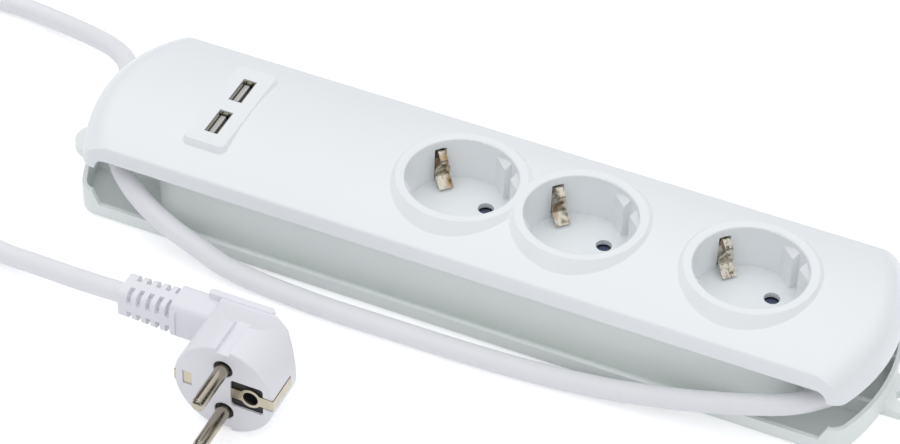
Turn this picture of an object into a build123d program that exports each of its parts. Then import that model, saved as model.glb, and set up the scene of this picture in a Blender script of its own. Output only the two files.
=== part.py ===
from build123d import *
import math
import os

os.makedirs("parts", exist_ok=True)

# Overall sizes, in millimetres. The origin is the middle of the base's underside,
# +X runs along the strip towards the third socket, and the cord leaves at the back, +Y.
TOTAL_H = 39.4
COVER_L = 294.0
COVER_W = 68.6
COVER_TOP = 38.2
CROWN_DROP = 4.6
END_R = 72.5
END_ROLL = 10.4
CORNER_R = 6.0
EDGE_R = 1.5
WALL = 2.2
FOOT_Z = 23.4
SKIRT_Z = 27.7
SKIRT_X = 134.0
SKIRT_ROUND = 0.98

# The three sockets
SOCKET_X = (-9.75, 34.1, 94.8)
CUP_R = 19.6
CUP_DEPTH = 17.5
CUP_WALL = 1.8
CUP_FLOOR_T = 2.0
MOUTH_ROLL = 0.6
COLLAR_R = 22.8
COLLAR_DROP = 4.5
PIN_PITCH = 19.0
PIN_HOLE_R = 2.8
PIN_LINE = 45.0
GUIDE_FLAT_R = 17.0
GUIDE_GAP = 5.0
GUIDE_TOP = 4.2
CLIP_SLOT_W = 4.4
CLIP_SLOT_TOP = 3.4
CLIP_SLOT_SHIFT = 0.4
CLIP_SLOT_EXTRA = 2.8

# The shutter under each socket
SHUTTER_W = 6.4
SHUTTER_T = 2.0
SHUTTER_GAP = 0.5
STEM_R = 1.6
STEM_FIT = 0.05
STEM_LOW_Z = 13.8
KEEPER_R = 3.2
KEEPER_T = 0.8
SPRING_R = 2.4
SPRING_WIRE = 0.5
SPRING_H = 1.6
SPRING_TURNS = 2.5
SPRING_GAP = 0.2

# Base tray
BASE_OVER = 1.0
BASE_END_R = 73.5
BASE_CORNER_R = 6.5
BASE_ROLL = 2.5
FLOOR_T = 2.0
BASE_WALL = 1.6
LIP_Z = 6.4
RIM_Z = 12.2
RIM_X = 133.0
RIM_SLOPE = 3.0
TAB_X = 152.5
TAB_R = 8.0
TAB_T = 3.2
TAB_HOLE_R = 2.75
TAB_RAMP_R = 6.5
END_RIB_Y = 12.0
END_RIB_T = 1.6
END_RIB_Z = 8.5

# Core wall, which the cord is wound round
CORE_LEFT = -116.0
CORE_RIGHT = 121.0
CORE_W = 55.0
CORE_T = 2.0
CORE_R = 10.0
CORE_Z = 29.0
SPIGOT_T = 1.6
SPIGOT_FIT = 0.3
SPIGOT_Z = 25.0
BAY_X = -82.0
BAY_Y = 13.5
BAY_RAMP_X = (-40.0, -16.0)
BAY_RAMP_R = 12.0
BAY_NOOK_R = 0.8

# Case screws, driven from below
SCREW_AT = ((-108.0, 21.0), (-108.0, -21.0), (12.2, 21.0), (12.2, -21.0), (114.0, 19.0), (114.0, -19.0))
SCREW_R = 1.5
SCREW_PILOT_R = 1.3
SCREW_CLEAR_R = 1.75
SCREW_HEAD_R = 2.9
SCREW_HEAD_T = 2.2
SCREW_L = 16.0
SCREW_CROSS = (0.8, 4.06)
SCREW_RECESS_R = 3.4
SCREW_RECESS_Z = 5.0
SEAT_BOSS_R = 4.5
SEAT_BOSS_Z = 8.0
COVER_BOSS_R = 3.6

# Charge ports
PORT_X = -97.7
PORT_PITCH = 18.5
PORT_L = 12.5
PORT_W = 5.1
PORT_FIT = 0.15
PORT_SHELL_T = 0.35
PORT_SINK = 0.3
PAD_L = 15.0
PAD_W = 42.6
PAD_R = 2.0
PAD_Z = 38.7
PAD_SLOPE = 25.0
PAD_DROP = 4.5
TONGUE_L = 11.0
TONGUE_T = 1.9
TONGUE_SHIFT = 0.9
TONGUE_SINK = 2.0
TONGUE_BASE_T = 1.4
BOARD_X = (-104.0, -86.5)
BOARD_W = 40.0
BOARD_T = 1.6
BOARD_R = 1.0
BOARD_Z = 24.4
PILLAR_AT = ((-101.0, 3.5), (-89.0, -18.5))
PILLAR_R = 2.0
TRANSFORMER = (12.0, 13.0, 13.0)
TRANSFORMER_AT = (-94.5, -7.5)
TRANSFORMER_EDGE = 1.0
CAPACITOR_SETS = ((-98.0, -17.6, 3.2, 11.0), (-101.0, 9.0, 2.4, 7.0))

# Current rails
STRIP_T = 0.8
STRIP_Z = (4.0, 9.5)
STRIP_X = (-33.0, 104.0)
RECEPTACLE_R = 3.1
RECEPTACLE_BORE_R = 2.5
RECEPTACLE_Z = 16.5
SADDLE_X = (-25.0, 13.0, 66.0)
SADDLE_L = 5.0
SADDLE_CHEEK = 1.2
SADDLE_Z = 6.5
SADDLE_FIT = 0.1
EARTH_Z = 11.4
EARTH_T = 0.6
EARTH_W = 4.0
EARTH_X = (-33.0, 100.0)
EARTH_POST_X = (12.2, 64.4)
EARTH_POST_R = 2.0
CLIP_W = 5.2
CLIP_TIP_W = 2.6
CLIP_WAIST_Z = 10.0
CLIP_TAPER = 2.0
CLIP_RISER_GAP = 0.8
CLIP_TOP_GAP = 0.5
CLIP_ENTRY = 1.0
CLIP_SPRING = ((4.2, 6.2), (2.7, 9.8), (2.0, 13.6))
CLIP_FOOT = (6.4, 0.9)
CLIP_BENDS = (0.8, 0.8, 0.6, 1.0, 1.5, 0.8)

# Cord and what holds it
CORD_D = 7.4
CORD_LENGTH = 1500.0
EXIT_Y = 19.5
EXIT_Z = 14.0
BOOT_END_X = -62.0
BOOT_R = (5.2, 4.5)
BOOT_FLANGE_R = 5.6
BOOT_FLANGE_T = 2.0
BOOT_NECK_R = 4.6
BOOT_GROOVES = 3
BOOT_GROOVE_W = 1.2
SHEATH_END_X = -98.5
CLAMP_X = (-97.0, -89.5)
CLAMP_Y = (10.0, 25.0)
CLAMP_Z = (14.6, 19.6)
CRADLE_Z = 13.4
CLAMP_R = 1.5
CLAMP_SCREW_Y = 12.6
CLAMP_SCREW_R = 1.3
CLAMP_HEAD_R = 2.4
CLAMP_HEAD_T = 1.6
CORE_WIRE_R = 1.1
CORE_WIRE_GAP = 0.2
FEED_WIRE_R = 0.8
FEED_WIRE_GAP = 0.4

# Plug, lying on the round rim of its body
PLUG_X = -46.9
PLUG_Y = -107.1
PLUG_R = 18.0
PLUG_DRUM = 17.0
PLUG_BACK = 33.0
PLUG_BACK_X = 5.0
PLUG_BACK_DROP = 3.0
PLUG_TAPER_Y = 12.6
PLUG_RIM_R = 0.6
PLUG_FIN_X = (-20.5, 3.6)
PLUG_FIN_Y = 31.0
PLUG_FIN_T = 2.6
PLUG_FIN_Z = 9.9
PLUG_TAPER_L = 16.4
PLUG_BACK_H = 9.5
PLUG_PIN_R = 2.4
PLUG_PIN_L = 19.0
PLUG_PIN_TIP_R = 1.7
PLUG_SHANK_R = 1.9
PLUG_SHANK_GAP = 0.1
PLUG_NECK_X = 30.5
PLUG_NECK = (12.0, 15.0)
PLUG_CORD_Y = 26.5
RELIEF_L = 19.5
RELIEF_SIZE = (12.4, 11.6)
RELIEF_R = 2.5
RELIEF_SLOTS = 5
RELIEF_PITCH = 3.6
RELIEF_SLOT_W = 1.7
RELIEF_SLOT_D = 2.2
RELIEF_WEB = 3.4

INSERT_RING_R = 3.5
INSERT_SINK = 0.8
INSERT_T = 2.0
EARTH_WINDOW = (11.7, 11.4)
EARTH_WINDOW_R = 1.2
EARTH_WINDOW_X = 8.4
EARTH_HOLE_X = 9.7
EARTH_HOLE_R = 2.7
EARTH_RING_R = 3.8
EARTH_STRIP_W = 4.2
EARTH_STRIP_END = 0.1
LEFT_TAB_X = -13.3
LEFT_TAB = (3.3, 5.8)
GUIDE_GROOVE_W = 5.0
GUIDE_GROOVE_D = 1.8
RIM_STRIP_W = 5.2
RIM_STRIP_T = 0.7
RIM_STRIP_L = 13.0
STRIP_BED = (13.5, 10.8)

# Put-away coil
COIL_AT = (-258.0, 6.0)
COIL_R = 40.0
TIE_T = 0.8
TIE_SPREAD = 9.0

# Sizes worked out from the ones above
half_w = COVER_W / 2
crown_r = (half_w**2 + CROWN_DROP**2) / (2 * CROWN_DROP)
cup_floor_z = TOTAL_H - CUP_DEPTH
cup_low_z = cup_floor_z - CUP_FLOOR_T
pin_at = PIN_PITCH / 2 * math.cos(math.radians(PIN_LINE))
shutter_top_z = cup_low_z - SHUTTER_GAP
port_at = [(PORT_X, -PORT_PITCH / 2), (PORT_X, PORT_PITCH / 2)]
cord_r = CORD_D / 2
strip_y = pin_at + RECEPTACLE_BORE_R + (RECEPTACLE_R - RECEPTACLE_BORE_R) / 2 + STRIP_T / 2
clip_slot_at = CUP_R + CUP_WALL / 2 + CLIP_SLOT_SHIFT
clip_slot_l = CUP_WALL + CLIP_SLOT_EXTRA
pin_hole_at = [(x + side * pin_at, side * pin_at) for x in SOCKET_X for side in (-1, 1)]
riser_r = CUP_R + CUP_WALL + CLIP_RISER_GAP
clip_top_z = TOTAL_H - CLIP_SLOT_TOP - CLIP_TOP_GAP - EARTH_T / 2
clip_path = [
    (0.0, EARTH_Z),
    (riser_r, EARTH_Z),
    (riser_r, clip_top_z),
    (CUP_R - CLIP_ENTRY, clip_top_z),
    *[(CUP_R - inwards, TOTAL_H - down) for inwards, down in CLIP_SPRING],
    (CUP_R - CLIP_FOOT[0], cup_floor_z + CLIP_FOOT[1]),
]


def save(piece, name):
    piece.part.label = name
    export_step(piece.part, f"parts/{name}.step")


def end_outline(half_l, half_width, end_r):
    """Two straight sides closed by an arc of a large radius at each end."""
    straight = half_l - (end_r - math.sqrt(end_r**2 - half_width**2))
    with BuildLine() as line:
        Line((-straight, -half_width), (straight, -half_width))
        ThreePointArc((straight, -half_width), (half_l, 0), (straight, half_width))
        Line((straight, half_width), (-straight, half_width))
        ThreePointArc((-straight, half_width), (-half_l, 0), (-straight, -half_width))
    return line.line


def cover_form(inset, low):
    """The cover's outer form moved inwards: crowned top, ends rolled over, corners rounded."""
    half_l = COVER_L / 2 - inset
    top = COVER_TOP - inset
    r = crown_r - inset
    wide = half_w + 4
    edge_z = top - (r - math.sqrt(r**2 - (wide + 1) ** 2))
    with BuildPart() as form:
        with BuildSketch(Plane.XY.offset(low)):
            with BuildLine():
                add(end_outline(half_l, wide, END_R - inset))
            make_face()
        extrude(amount=top - low)
        with BuildSketch(Plane.YZ):
            with BuildLine():
                ThreePointArc((-wide - 1, edge_z), (0, top), (wide + 1, edge_z))
                Polyline((wide + 1, edge_z), (wide + 1, low - 1), (-wide - 1, low - 1), (-wide - 1, edge_z))
            make_face()
        extrude(amount=COVER_L, both=True, mode=Mode.INTERSECT)
        across = form.edges().filter_by(lambda e: abs(e.position_at(0).Y - e.position_at(1).Y) > wide)
        rolled = across.filter_by(lambda e: e.center().Z > edge_z and abs(e.center().X) > half_l - 2 * END_ROLL)
        fillet(rolled, END_ROLL - inset)
        side_y = half_w - inset
        side_z = top - (r - math.sqrt(r**2 - side_y**2))
        with BuildSketch(Plane.YZ) as section:
            with BuildLine():
                ThreePointArc((-side_y, side_z), (0, top), (side_y, side_z))
                Polyline((side_y, side_z), (side_y, low - 1), (-side_y, low - 1), (-side_y, side_z))
            make_face()
            if inset < EDGE_R:
                fillet(section.vertices().group_by(Axis.Z)[-1], EDGE_R - inset)
        extrude(amount=COVER_L, both=True, mode=Mode.INTERSECT)
        with BuildSketch(Plane.XY.offset(low)) as plan:
            with BuildLine():
                add(end_outline(half_l, side_y, END_R - inset))
            make_face()
            fillet(plan.vertices(), CORNER_R - inset)
        extrude(amount=top - low + 5, mode=Mode.INTERSECT)
    return form.part


def core_outline(inset):
    """Plan of the core wall, stepped in at the back where the cord comes out of it."""
    y = CORE_W / 2
    corners = [
        (CORE_LEFT, -y),
        (CORE_RIGHT, -y),
        (CORE_RIGHT, y),
        (BAY_RAMP_X[1], y),
        (BAY_RAMP_X[0], BAY_Y),
        (BAY_X, BAY_Y),
        (BAY_X, y),
        (CORE_LEFT, y),
    ]
    radii = [CORE_R, CORE_R, CORE_R, BAY_RAMP_R, BAY_RAMP_R, BAY_NOOK_R, BAY_NOOK_R, CORE_R]
    with BuildSketch() as plan:
        with BuildLine():
            Polyline(*corners, close=True)
        make_face()
        for corner, radius in zip(corners, radii):
            fillet(plan.vertices().sort_by_distance(corner)[0], radius)
        if inset:
            offset(amount=-inset, mode=Mode.REPLACE)
    return plan.sketch


def core_ring(inset, thickness, low, high):
    """A wall of even thickness along the core outline."""
    with BuildPart() as ring:
        with BuildSketch(Plane.XY.offset(low)):
            add(core_outline(inset))
            add(core_outline(inset + thickness), mode=Mode.SUBTRACT)
        extrude(amount=high - low)
    return ring.part


def arc_radii(points):
    """The largest arc each corner of a route has room for."""
    radii = []
    for before, at, after in zip(points, points[1:], points[2:]):
        first = Vector(*at) - Vector(*before)
        second = Vector(*after) - Vector(*at)
        half_turn = math.radians(first.get_angle(second)) / 2
        radii.append(0.45 * min(first.length, second.length) / math.tan(half_turn))
    return radii


def tube(points, radius):
    """A round cord along straight runs joined by tangent arcs."""
    with BuildPart() as cord:
        with BuildLine() as path:
            FilletPolyline(*points, radius=arc_radii(points))
        start = path.wires()[0] @ 0
        heading = path.wires()[0] % 0
        with BuildSketch(Plane(origin=start, z_dir=heading)):
            Circle(radius)
        sweep(path=path.wires()[0])
    return cord.part, path.wires()[0].length


def guide_flats(x):
    """Flats across the pin line of one cup, each split by a groove and sloped off at the top."""
    across_pins = Plane(origin=(x, 0, cup_floor_z), x_dir=(1, 1, 0), z_dir=(1, -1, 0))
    reach = CUP_R + CUP_WALL / 2
    slope = reach - GUIDE_FLAT_R
    height = CUP_DEPTH - GUIDE_TOP
    with BuildPart() as flats:
        with BuildSketch(across_pins):
            with BuildLine():
                Polyline(
                    (GUIDE_FLAT_R, -CUP_FLOOR_T / 2),
                    (GUIDE_FLAT_R, height),
                    (GUIDE_FLAT_R + slope, height + slope),
                    (GUIDE_FLAT_R + slope, -CUP_FLOOR_T / 2),
                    close=True,
                )
            make_face()
            mirror(about=Plane.YZ)
        extrude(amount=reach, both=True)
        with BuildSketch(across_pins):
            Rectangle(3 * CUP_R, 3 * CUP_DEPTH)
        extrude(amount=GUIDE_GAP / 2, both=True, mode=Mode.SUBTRACT)
        with BuildSketch(Plane.XY.offset(cup_low_z)):
            with Locations((x, 0)):
                Circle(reach)
        extrude(amount=TOTAL_H - cup_low_z, mode=Mode.INTERSECT)
    return flats.part


def earth_clip(x, side):
    """One arm of the earth rail: out under the cup, up its wall, over and down inside as a spring."""
    radial = Plane(origin=(x, 0, 0), x_dir=(-side, side, 0), z_dir=(side, side, 0))
    with BuildPart() as clip:
        with BuildSketch(radial) as profile:
            with BuildLine() as line:
                FilletPolyline(*clip_path, radius=CLIP_BENDS)
            trace(line.line, line_width=EARTH_T)
        extrude(amount=CLIP_W / 2, both=True)
        with BuildSketch(Plane(origin=(x, 0, 0), x_dir=(1, 1, 0), z_dir=(1, -1, 0))):
            waist = TOTAL_H - CLIP_WAIST_Z
            with BuildLine():
                Polyline(
                    (-CLIP_W / 2, 0),
                    (CLIP_W / 2, 0),
                    (CLIP_W / 2, waist),
                    (CLIP_TIP_W / 2, waist + CLIP_TAPER),
                    (CLIP_TIP_W / 2, TOTAL_H),
                    (-CLIP_TIP_W / 2, TOTAL_H),
                    (-CLIP_TIP_W / 2, waist + CLIP_TAPER),
                    (-CLIP_W / 2, waist),
                    close=True,
                )
            make_face()
        extrude(amount=-side * 2 * CUP_R, mode=Mode.INTERSECT)
    return clip.part


# Core wall, the inner side of the channel: it stands on the tray's floor, round everything inside
with BuildPart() as core_wall:
    add(core_ring(0, CORE_T, FLOOR_T, CORE_Z))
    with BuildSketch(Plane.YZ.offset(BAY_X - CORE_T - 1)):
        with Locations((EXIT_Y, EXIT_Z)):
            Circle(BOOT_NECK_R)
    extrude(amount=CORE_T + 2, mode=Mode.SUBTRACT)
save(core_wall, "core_wall")

# Base tray: floor, end rims, screw seats, supports and hanging eyes in one moulding
with BuildPart() as base_tray:
    with BuildSketch(Plane.XY) as tray_plan:
        with BuildLine():
            add(end_outline(COVER_L / 2 + BASE_OVER, half_w, BASE_END_R))
        make_face()
        fillet(tray_plan.vertices(), BASE_CORNER_R)
    extrude(amount=RIM_Z)
    fillet(base_tray.faces().sort_by(Axis.Z)[0].edges(), BASE_ROLL)
    with BuildSketch(Plane.XY.offset(FLOOR_T)) as tray_inside:
        with BuildLine():
            add(end_outline(COVER_L / 2 + BASE_OVER - BASE_WALL, half_w - BASE_WALL, BASE_END_R - BASE_WALL))
        make_face()
        fillet(tray_inside.vertices(), BASE_CORNER_R - BASE_WALL)
    extrude(amount=RIM_Z, mode=Mode.SUBTRACT)
    with BuildSketch(Plane.XZ):
        with BuildLine():
            Polyline(
                (-RIM_X, LIP_Z),
                (RIM_X, LIP_Z),
                (RIM_X + RIM_SLOPE, RIM_Z + 1),
                (-RIM_X - RIM_SLOPE, RIM_Z + 1),
                close=True,
            )
        make_face()
    extrude(amount=COVER_W, both=True, mode=Mode.SUBTRACT)
    # two low ribs brace each end of the floor
    for side in (-1, 1):
        for y in (-END_RIB_Y, END_RIB_Y):
            reach = COVER_L / 2 - BASE_WALL - (CORE_RIGHT if side > 0 else -CORE_LEFT)
            middle = side * (COVER_L / 2 - BASE_WALL - reach / 2)
            with BuildSketch(Plane.XY.offset(FLOOR_T / 2)):
                with Locations((middle, y)):
                    Rectangle(reach, END_RIB_T)
            extrude(amount=END_RIB_Z - FLOOR_T / 2)
    # hanging eyes, each with a hollow ramp up to the end wall
    for side in (-1, 1):
        wall_x = COVER_L / 2 - BASE_WALL / 2
        with BuildSketch(Plane.XY):
            with Locations((side * (wall_x + TAB_X) / 2, 0)):
                Rectangle(TAB_X - wall_x, 2 * TAB_R)
            with Locations((side * TAB_X, 0)):
                Circle(TAB_R)
        extrude(amount=TAB_T)
        with BuildSketch(Plane.XZ.offset(-TAB_R)):
            with BuildLine():
                Polyline(
                    (side * (wall_x + TAB_RAMP_R), TAB_T),
                    (side * (wall_x + TAB_RAMP_R), TAB_T / 2),
                    (side * wall_x, TAB_T / 2),
                    (side * wall_x, TAB_T + TAB_RAMP_R),
                )
                RadiusArc(
                    (side * wall_x, TAB_T + TAB_RAMP_R),
                    (side * (wall_x + TAB_RAMP_R), TAB_T),
                    -side * TAB_RAMP_R,
                )
            make_face()
        extrude(amount=2 * TAB_R)
    with Locations((-TAB_X, 0), (TAB_X, 0)):
        Hole(TAB_HOLE_R)
    # seats for the case screws, recessed from below
    with BuildSketch(Plane.XY.offset(FLOOR_T / 2)):
        with Locations(*SCREW_AT):
            Circle(SEAT_BOSS_R)
    extrude(amount=SEAT_BOSS_Z - FLOOR_T / 2)
    with BuildSketch(Plane.XY):
        with Locations(*SCREW_AT):
            Circle(SCREW_RECESS_R)
    extrude(amount=SCREW_RECESS_Z, mode=Mode.SUBTRACT)
    with BuildSketch(Plane.XY):
        with Locations(*SCREW_AT):
            Circle(SCREW_CLEAR_R)
    extrude(amount=SEAT_BOSS_Z, mode=Mode.SUBTRACT)
    # cradle under the cord, in line with the hole that the exit boot fills
    with BuildSketch(Plane.XY.offset(FLOOR_T / 2)):
        with Locations((sum(CLAMP_X) / 2, (CLAMP_Y[0] + CORE_W / 2 - CORE_T) / 2)):
            Rectangle(CLAMP_X[1] - CLAMP_X[0], CORE_W / 2 - CORE_T - CLAMP_Y[0])
    extrude(amount=CRADLE_Z - FLOOR_T / 2)
    with BuildSketch(Plane.YZ.offset(SHEATH_END_X)):
        with Locations((EXIT_Y, EXIT_Z)):
            Circle(cord_r)
    extrude(amount=CLAMP_X[1] - SHEATH_END_X, mode=Mode.SUBTRACT)
    with BuildSketch(Plane.XY.offset(CRADLE_Z)):
        with Locations((sum(CLAMP_X) / 2, CLAMP_SCREW_Y)):
            Circle(CLAMP_SCREW_R)
    extrude(amount=-SEAT_BOSS_Z, mode=Mode.SUBTRACT)
    # pillars under the charger board, posts under the earth rail, saddles for the current rails
    with BuildSketch(Plane.XY.offset(FLOOR_T / 2)):
        with Locations(*PILLAR_AT):
            Circle(PILLAR_R)
    extrude(amount=BOARD_Z - BOARD_T - FLOOR_T / 2)
    with BuildSketch(Plane.XY.offset(FLOOR_T / 2)):
        with Locations(*[(x, 0) for x in EARTH_POST_X]):
            Circle(EARTH_POST_R)
    extrude(amount=EARTH_Z - EARTH_T / 2 - FLOOR_T / 2)
    saddle_at = [(x, side * strip_y) for x in SADDLE_X for side in (-1, 1)]
    with BuildSketch(Plane.XY.offset(FLOOR_T / 2)):
        with Locations(*saddle_at):
            Rectangle(SADDLE_L, STRIP_T + 2 * SADDLE_FIT + 2 * SADDLE_CHEEK)
    extrude(amount=SADDLE_Z - FLOOR_T / 2)
    with BuildSketch(Plane.XY.offset(STRIP_Z[0])):
        with Locations(*saddle_at):
            Rectangle(SADDLE_L, STRIP_T + 2 * SADDLE_FIT)
    extrude(amount=SADDLE_Z, mode=Mode.SUBTRACT)
    add(core_wall.part, mode=Mode.SUBTRACT)
save(base_tray, "base_tray")

# What hangs from the cover's roof: seat ring, spigot ring and screw bosses
with BuildPart() as hangers:
    add(core_ring(0, CORE_T, CORE_Z, TOTAL_H))
    add(core_ring(CORE_T + SPIGOT_FIT, SPIGOT_T, SPIGOT_Z, TOTAL_H))
    add(core_ring(CORE_T / 2, CORE_T / 2 + SPIGOT_FIT + SPIGOT_T / 2, CORE_Z, TOTAL_H))
    with BuildSketch(Plane.XY.offset(SEAT_BOSS_Z)):
        with Locations(*SCREW_AT):
            Circle(COVER_BOSS_R)
    extrude(amount=TOTAL_H - SEAT_BOSS_Z)
    add(cover_form(WALL / 2, 0), mode=Mode.INTERSECT)

# Cover: crowned shell with three cups, the port pad and its side skirts
with BuildPart() as top_cover:
    add(cover_form(0, FOOT_Z))
    for x in SOCKET_X:
        with BuildSketch(Plane.XZ):
            with BuildLine():
                Polyline(
                    (x, TOTAL_H),
                    (x + COLLAR_R, TOTAL_H),
                    (x + COLLAR_R + COLLAR_DROP, TOTAL_H - COLLAR_DROP),
                    (x, TOTAL_H - COLLAR_DROP),
                    close=True,
                )
            make_face()
        revolve(axis=Axis((x, 0, 0), (0, 0, 1)))
    with BuildSketch(Plane.XY.offset(PAD_Z)):
        with Locations((PORT_X, 0)):
            RectangleRounded(PAD_L, PAD_W, PAD_R)
    extrude(amount=-PAD_DROP, taper=-PAD_SLOPE)
    add(cover_form(WALL, FOOT_Z - 1), mode=Mode.SUBTRACT)
    # the side skirts stop higher than the feet at the two ends
    rise = SKIRT_Z - FOOT_Z
    with BuildSketch(Plane.XZ) as arch:
        with Locations((0, FOOT_Z)):
            Rectangle(2 * SKIRT_X, 2 * rise)
        fillet(arch.vertices().group_by(Axis.Z)[-1], rise * SKIRT_ROUND)
    extrude(amount=COVER_W, both=True, mode=Mode.SUBTRACT)
    add(hangers.part)
    cup_at = [(x, 0) for x in SOCKET_X]
    with BuildSketch(Plane.XY.offset(cup_low_z)):
        with Locations(*cup_at):
            Circle(CUP_R + CUP_WALL)
    extrude(amount=TOTAL_H - COLLAR_DROP / 2 - cup_low_z)
    with BuildSketch(Plane.XY.offset(STEM_LOW_Z)):
        with Locations(*cup_at):
            Circle(STEM_R)
    extrude(amount=cup_floor_z - STEM_LOW_Z)
    with BuildSketch(Plane.XY.offset(cup_floor_z)):
        with Locations(*cup_at):
            Circle(CUP_R)
    extrude(amount=CUP_DEPTH + 1, mode=Mode.SUBTRACT)
    mouths = top_cover.edges().filter_by(GeomType.CIRCLE)
    mouths = mouths.filter_by(lambda e: abs(e.radius - CUP_R) < 0.01 and e.center().Z > TOTAL_H - 0.1)
    fillet(mouths, MOUTH_ROLL)
    for x in SOCKET_X:
        add(guide_flats(x))
    # slots for the earth clips, shut at the top by the collar
    for x in SOCKET_X:
        along_clips = Plane(origin=(x, 0, cup_floor_z), x_dir=(-1, 1, 0), z_dir=(0, 0, 1))
        with BuildSketch(along_clips):
            with Locations((clip_slot_at, 0), (-clip_slot_at, 0)):
                Rectangle(clip_slot_l, CLIP_SLOT_W)
        extrude(amount=CUP_DEPTH - CLIP_SLOT_TOP, mode=Mode.SUBTRACT)
    with BuildSketch(Plane.XY.offset(cup_low_z)):
        with Locations(*pin_hole_at):
            Circle(PIN_HOLE_R)
    extrude(amount=CUP_FLOOR_T, mode=Mode.SUBTRACT)
    with BuildSketch(Plane.XY.offset(PAD_Z)):
        with Locations(*port_at):
            Rectangle(PORT_W, PORT_L)
    extrude(amount=-2 * PAD_DROP, mode=Mode.SUBTRACT)
    with BuildSketch(Plane.XY.offset(SEAT_BOSS_Z)):
        with Locations(*SCREW_AT):
            Circle(SCREW_PILOT_R)
    extrude(amount=SCREW_L, mode=Mode.SUBTRACT)
save(top_cover, "top_cover")

# Shutters: a bar across both pin holes that turns on a stem under the cup
bar_l = PIN_PITCH + SHUTTER_W
for index, x in enumerate(SOCKET_X, start=1):
    with BuildPart() as shutter:
        with BuildSketch(Plane.XY.offset(shutter_top_z - SHUTTER_T)):
            with Locations(Location((x, 0), PIN_LINE)):
                SlotOverall(bar_l, SHUTTER_W)
        extrude(amount=SHUTTER_T)
        chamfer(shutter.faces().sort_by(Axis.Z)[-1].edges(), SHUTTER_T / 3)
        with Locations((x, 0, shutter_top_z)):
            Hole(STEM_R + STEM_FIT)
    save(shutter, f"shutter_{index}")

    spring_z = shutter_top_z - SHUTTER_T - SPRING_GAP - SPRING_H
    with BuildPart() as spring:
        with BuildLine():
            spring_low = (x, 0, spring_z + SPRING_WIRE / 2)
            coil = Helix(SPRING_H / SPRING_TURNS, SPRING_H - SPRING_WIRE, SPRING_R, center=spring_low)
        with BuildSketch(Plane(origin=coil @ 0, z_dir=coil % 0, x_dir=(1, 0, 0))):
            Rectangle(SPRING_WIRE, SPRING_WIRE)
        sweep(path=coil, is_frenet=True)
    save(spring, f"shutter_spring_{index}")

    with BuildPart() as keeper:
        with BuildSketch(Plane.XY.offset(spring_z - KEEPER_T)):
            with Locations((x, 0)):
                Circle(KEEPER_R)
                Circle(STEM_R, mode=Mode.SUBTRACT)
        extrude(amount=KEEPER_T)
    save(keeper, f"shutter_keeper_{index}")

# Current rails: a strip on edge with a sleeve for each pin
for name, side in (("phase_rail", 1), ("neutral_rail", -1)):
    with BuildPart() as rail:
        with BuildSketch(Plane.XY.offset(STRIP_Z[0])):
            with Locations((sum(STRIP_X) / 2, side * strip_y)):
                Rectangle(STRIP_X[1] - STRIP_X[0], STRIP_T)
        extrude(amount=STRIP_Z[1] - STRIP_Z[0])
        sleeve_at = [(x + side * pin_at, side * pin_at) for x in SOCKET_X]
        with BuildSketch(Plane.XY.offset(STRIP_Z[0])):
            with Locations(*sleeve_at):
                Circle(RECEPTACLE_R)
        extrude(amount=RECEPTACLE_Z - STRIP_Z[0])
        with BuildSketch(Plane.XY.offset(STRIP_Z[0])):
            with Locations(*sleeve_at):
                Circle(RECEPTACLE_BORE_R)
        extrude(amount=RECEPTACLE_Z - STRIP_Z[0], mode=Mode.SUBTRACT)
        # two cuts let each sleeve spring open on the pin
        for sleeve_x, sleeve_y in sleeve_at:
            with BuildSketch(Plane.XY.offset(STRIP_Z[1])):
                with Locations((sleeve_x, sleeve_y)):
                    Rectangle(3 * RECEPTACLE_R, STRIP_T)
            extrude(amount=RECEPTACLE_Z, mode=Mode.SUBTRACT)
    save(rail, name)

# Earth rail with its six spring clips, stamped and bent from one strip
with BuildPart() as earth_rail:
    with BuildSketch(Plane.XY.offset(EARTH_Z - EARTH_T / 2)):
        with Locations((sum(EARTH_X) / 2, 0)):
            Rectangle(EARTH_X[1] - EARTH_X[0], EARTH_W)
    extrude(amount=EARTH_T)
    for x in SOCKET_X:
        for side in (-1, 1):
            add(earth_clip(x, side))
save(earth_rail, "earth_rail")

# Charger: board, two shells with their tongues, transformer and capacitors
board_low = BOARD_Z - BOARD_T
with BuildPart() as port_board:
    with BuildSketch(Plane.XY.offset(board_low)):
        with Locations((sum(BOARD_X) / 2, 0)):
            RectangleRounded(BOARD_X[1] - BOARD_X[0], BOARD_W, BOARD_R)
    extrude(amount=BOARD_T)
save(port_board, "port_board")

for index, (x, y) in enumerate(port_at, start=1):
    shell_w = PORT_W - 2 * PORT_FIT
    shell_l = PORT_L - 2 * PORT_FIT
    with BuildPart() as shell:
        with BuildSketch(Plane.XY.offset(BOARD_Z)):
            with Locations((x, y)):
                RectangleRounded(shell_w, shell_l, PORT_SHELL_T * 2)
                RectangleRounded(
                    shell_w - 2 * PORT_SHELL_T, shell_l - 2 * PORT_SHELL_T, PORT_SHELL_T, mode=Mode.SUBTRACT
                )
        extrude(amount=PAD_Z - PORT_SINK - BOARD_Z)
    save(shell, f"port_shell_{index}")
    with BuildPart() as tongue:
        with BuildSketch(Plane.XY.offset(BOARD_Z)):
            with Locations((x, y)):
                RectangleRounded(shell_w - 2 * PORT_SHELL_T, shell_l - 2 * PORT_SHELL_T, PORT_SHELL_T)
        extrude(amount=TONGUE_BASE_T)
        with BuildSketch(Plane.XY.offset(BOARD_Z)):
            with Locations((x - TONGUE_SHIFT, y)):
                Rectangle(TONGUE_T, TONGUE_L)
        extrude(amount=PAD_Z - TONGUE_SINK - BOARD_Z)
    save(tongue, f"port_tongue_{index}")

with BuildPart() as transformer:
    with BuildSketch(Plane.XY.offset(board_low)):
        with Locations(TRANSFORMER_AT):
            Rectangle(TRANSFORMER[0], TRANSFORMER[1])
    extrude(amount=-TRANSFORMER[2])
    chamfer(transformer.edges().filter_by(Axis.Z), TRANSFORMER_EDGE)
save(transformer, "transformer")

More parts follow.
